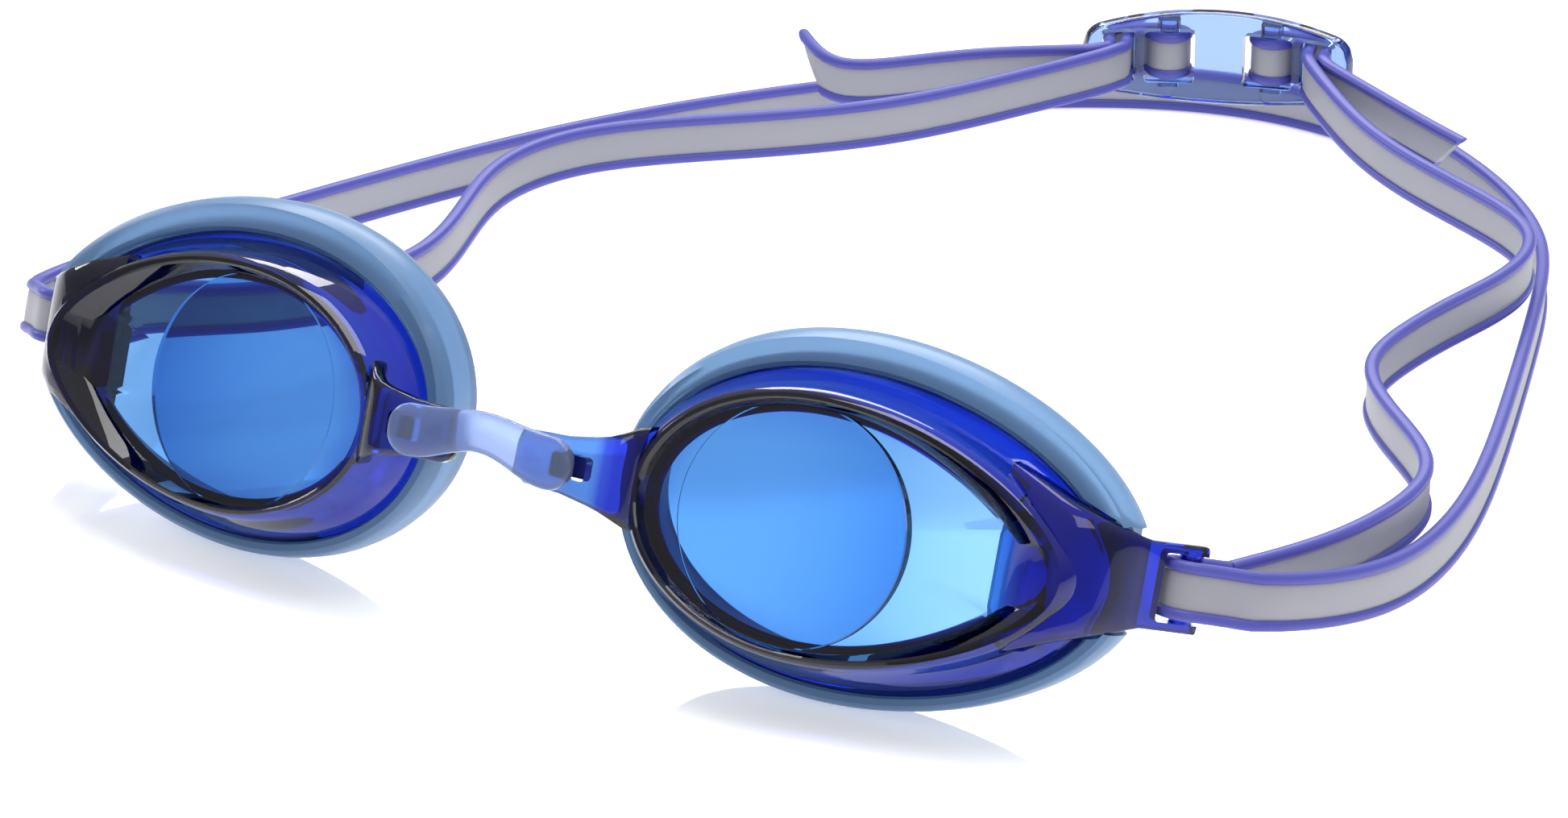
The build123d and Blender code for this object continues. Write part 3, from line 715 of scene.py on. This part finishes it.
def smooth_run(points, spacing=1.1, hug=0.05):
    """An even B-spline through the route, as places and ways up."""
    kept = [points[0]]
    for a, b, c in zip(points, points[1:], points[2:]):
        kept.append((b[0] + (b[0] * 2 - a[0] - c[0]) * hug, b[1]))
    kept.append(points[-1])
    ends = [kept[0]] * 2 + kept + [kept[-1]] * 2
    samples = []
    for a, b, c, d in zip(ends, ends[1:], ends[2:], ends[3:]):
        steps = max(2, int((c[0] - b[0]).length / MM / spacing))
        for k in range(steps):
            t = k / steps
            weights = ((1 - t) ** 3 / 6, (3 * t ** 3 - 6 * t * t + 4) / 6,
                       (-3 * t ** 3 + 3 * t * t + 3 * t + 1) / 6, t ** 3 / 6)
            place = sum((w * p[0] for w, p in zip(weights, (a, b, c, d))), Vector())
            lean = sum(w * p[1] for w, p in zip(weights, (a, b, c, d)))
            if not samples or (place - samples[-1][0]).length > 0.25 * spacing * MM:
                samples.append((place, Vector((0, 0, 1)).lerp(lean_axis, lean).normalized()))
    samples.append((points[-1][0], Vector((0, 0, 1)).lerp(lean_axis, points[-1][1]).normalized()))
    return samples


def sweep(samples, half_thick, half_high, middle, segments, squareness):
    """A rounded bar swept along a run, standing off its middle line by a height."""
    bm = bmesh.new()
    loop = list(bmesh.ops.create_circle(bm, segments=segments, radius=1.0)["verts"])
    for index, (place, upward) in enumerate(samples):
        ahead = samples[min(index + 1, len(samples) - 1)][0] - samples[max(index - 1, 0)][0]
        outward = ahead.cross(upward).normalized()
        if index:
            loop = next_loop(bm, loop)
        for k, vert in enumerate(loop):
            t = 2 * pi * (k + 0.5) / segments
            c, s = cos(t), sin(t)
            x, z = abs(c) ** squareness * (1 if c > 0 else -1), abs(s) ** squareness * (1 if s > 0 else -1)
            vert.co = place + (outward * (half_thick * x) + upward * (middle + half_high * z)) * MM
        if index in (0, len(samples) - 1):
            bm.faces.new(loop)
    bmesh.ops.recalc_face_normals(bm, faces=bm.faces)
    return bm


def strap_strand(points, tail):
    """The web and the two edge beads of one strand, cut off slantwise at a free tail."""
    samples = smooth_run(points)
    (before, _), (tip, upward) = samples[-3], samples[-1]
    cut = (tip - before).normalized() * sin(radians(45)) - upward * cos(radians(45))
    corner = tip + upward * (strap_h / 2 * MM)
    web = sweep(samples, web_t / 2, strap_h / 2 - bead_h + 0.2, 0.0, 16, 0.35)
    beads = bmesh.new()
    for edge in (-1, 1):
        bead = sweep(samples, bead_t / 2, bead_h / 2, edge * (strap_h - bead_h) / 2, 16, 0.8)
        mesh = bpy.data.meshes.new("bead")
        bead.to_mesh(mesh)
        bead.free()
        beads.from_mesh(mesh)
        bpy.data.meshes.remove(mesh)
    for piece in (web, beads) if tail else ():
        last = {vert for vert in piece.verts if (vert.co - tip).length < 1.35 * strap_h * MM}
        part = [item for item in piece.edges[:] + piece.faces[:] if last.issuperset(item.verts)]
        part += list(last)
        sliced = bmesh.ops.bisect_plane(piece, geom=part, plane_co=corner, plane_no=cut, clear_outer=True)
        edges = [item for item in sliced["geom_cut"] if isinstance(item, bmesh.types.BMEdge)]
        bmesh.ops.edgeloop_fill(piece, edges=edges)
        bmesh.ops.recalc_face_normals(piece, faces=piece.faces)
    return web, beads


web_silicone = new_material("silicone_milky_clear")
surface = add_node(web_silicone, "ShaderNodeBsdfPrincipled")
surface.inputs["Base Color"].default_value = srgb("#B9BAC3")
surface.inputs["Transmission Weight"].default_value = 0.3
surface.inputs["Roughness"].default_value = 0.45
surface.inputs["IOR"].default_value = 1.41
add_node(web_silicone, "ShaderNodeOutputMaterial", [("Surface", surface, 0)])
bead_silicone = new_material("silicone_periwinkle_satin")
surface = add_node(bead_silicone, "ShaderNodeBsdfPrincipled")
surface.inputs["Base Color"].default_value = srgb("#5456B0")
surface.inputs["Roughness"].default_value = 0.38
surface.inputs["IOR"].default_value = 1.41
add_node(bead_silicone, "ShaderNodeOutputMaterial", [("Surface", surface, 0)])

wrap_right, wrap_left = lean_with_cup(1, bar_wrap()), lean_with_cup(-1, bar_wrap())
outer_route = wrap_left[::-1] + stand(left_side + back_side + right_side) + wrap_right
clip_right, clip_left = clip_wrap(1), clip_wrap(-1)
left_route = wrap_left[-1:] + stand(left_run) + clip_left + stand(left_tail)
right_route = wrap_right[-1:] + stand(right_run) + clip_right + stand(right_tail)
runs = [("outer", outer_route, True), ("left", left_route, False), ("right", right_route, True)]
for label, route, bends in runs:
    web, beads = strap_strand(route, label != "outer")
    for piece, part, material in ((make_object(f"strap_{label}_band", web), "web", web_silicone),
                                  (make_object(f"strap_{label}_edges", beads), "beads", bead_silicone)):
        piece.data.materials.append(material)
        smooth_by_angle(piece, 50)
        if bends:
            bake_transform(piece)
        else:
            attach(piece, "left_eyecup")
        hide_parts(f"strap_{label}_{part}")


# ---- studio: a plain white table top, a white surround and soft boxes ----
floor_bm = bmesh.new()
bmesh.ops.create_grid(floor_bm, x_segments=1, y_segments=1, size=3.0)
bmesh.ops.translate(floor_bm, vec=(0, 0, floor_z), verts=floor_bm.verts)
floor = make_object("table_top", floor_bm)
laminate = new_material("laminate_white_gloss")
surface = add_node(laminate, "ShaderNodeBsdfPrincipled")
surface.inputs["Base Color"].default_value = srgb("#FAFAFB")
surface.inputs["Roughness"].default_value = 0.05
surface.inputs["IOR"].default_value = 1.5
surface.inputs["Emission Color"].default_value = (1, 1, 1, 1)
surface.inputs["Emission Strength"].default_value = 0.4
add_node(laminate, "ShaderNodeOutputMaterial", [("Surface", surface, 0)])
floor.data.materials.append(laminate)

world = bpy.data.worlds.new("studio")
bpy.context.scene.world = world
world.use_nodes = True
sky = world.node_tree
direction = sky.nodes.new("ShaderNodeTexCoord")
height = sky.nodes.new("ShaderNodeSeparateXYZ")
walls = sky.nodes.new("ShaderNodeValToRGB")
walls.color_ramp.elements[0].position, walls.color_ramp.elements[0].color = 0.1, (0.5, 0.5, 0.54, 1)
walls.color_ramp.elements[1].position, walls.color_ramp.elements[1].color = 0.6, (1, 1, 1, 1)
sky.links.new(direction.outputs["Generated"], height.inputs[0])
sky.links.new(height.outputs["Z"], walls.inputs[0])
sky.links.new(walls.outputs[0], sky.nodes["Background"].inputs["Color"])
sky.nodes["Background"].inputs["Strength"].default_value = 0.6


def soft_box(name, place, target, size, power):
    """A rectangular area light, aimed at a place."""
    data = bpy.data.lights.new(name, "AREA")
    data.shape, data.size, data.size_y, data.energy = "RECTANGLE", size[0], size[1], power
    lamp = bpy.data.objects.new(name, data)
    bpy.context.scene.collection.objects.link(lamp)
    lamp.location = place
    lamp.rotation_euler = (Vector(target) - Vector(place)).to_track_quat("-Z", "Y").to_euler()


soft_box("top_box", (0.1, 0.25, 1.1), (0, 0.06, 0), (1.0, 0.7), 9.5)
soft_box("back_box", (-0.5, 1.0, 0.62), (0, 0, 0), (0.7, 0.3), 4)
soft_box("left_box", (-0.9, 0.1, 0.36), (0, 0, 0), (0.35, 0.25), 2)
soft_box("front_box", (0.9, -0.7, 0.5), (0.02, 0.02, 0), (0.5, 0.35), 1.2)

scene = bpy.context.scene
scene.view_settings.view_transform = "Standard"
scene.cycles.use_denoising = True
scene.cycles.max_bounces = 20
scene.cycles.transmission_bounces = 16
scene.cycles.transparent_max_bounces = 16
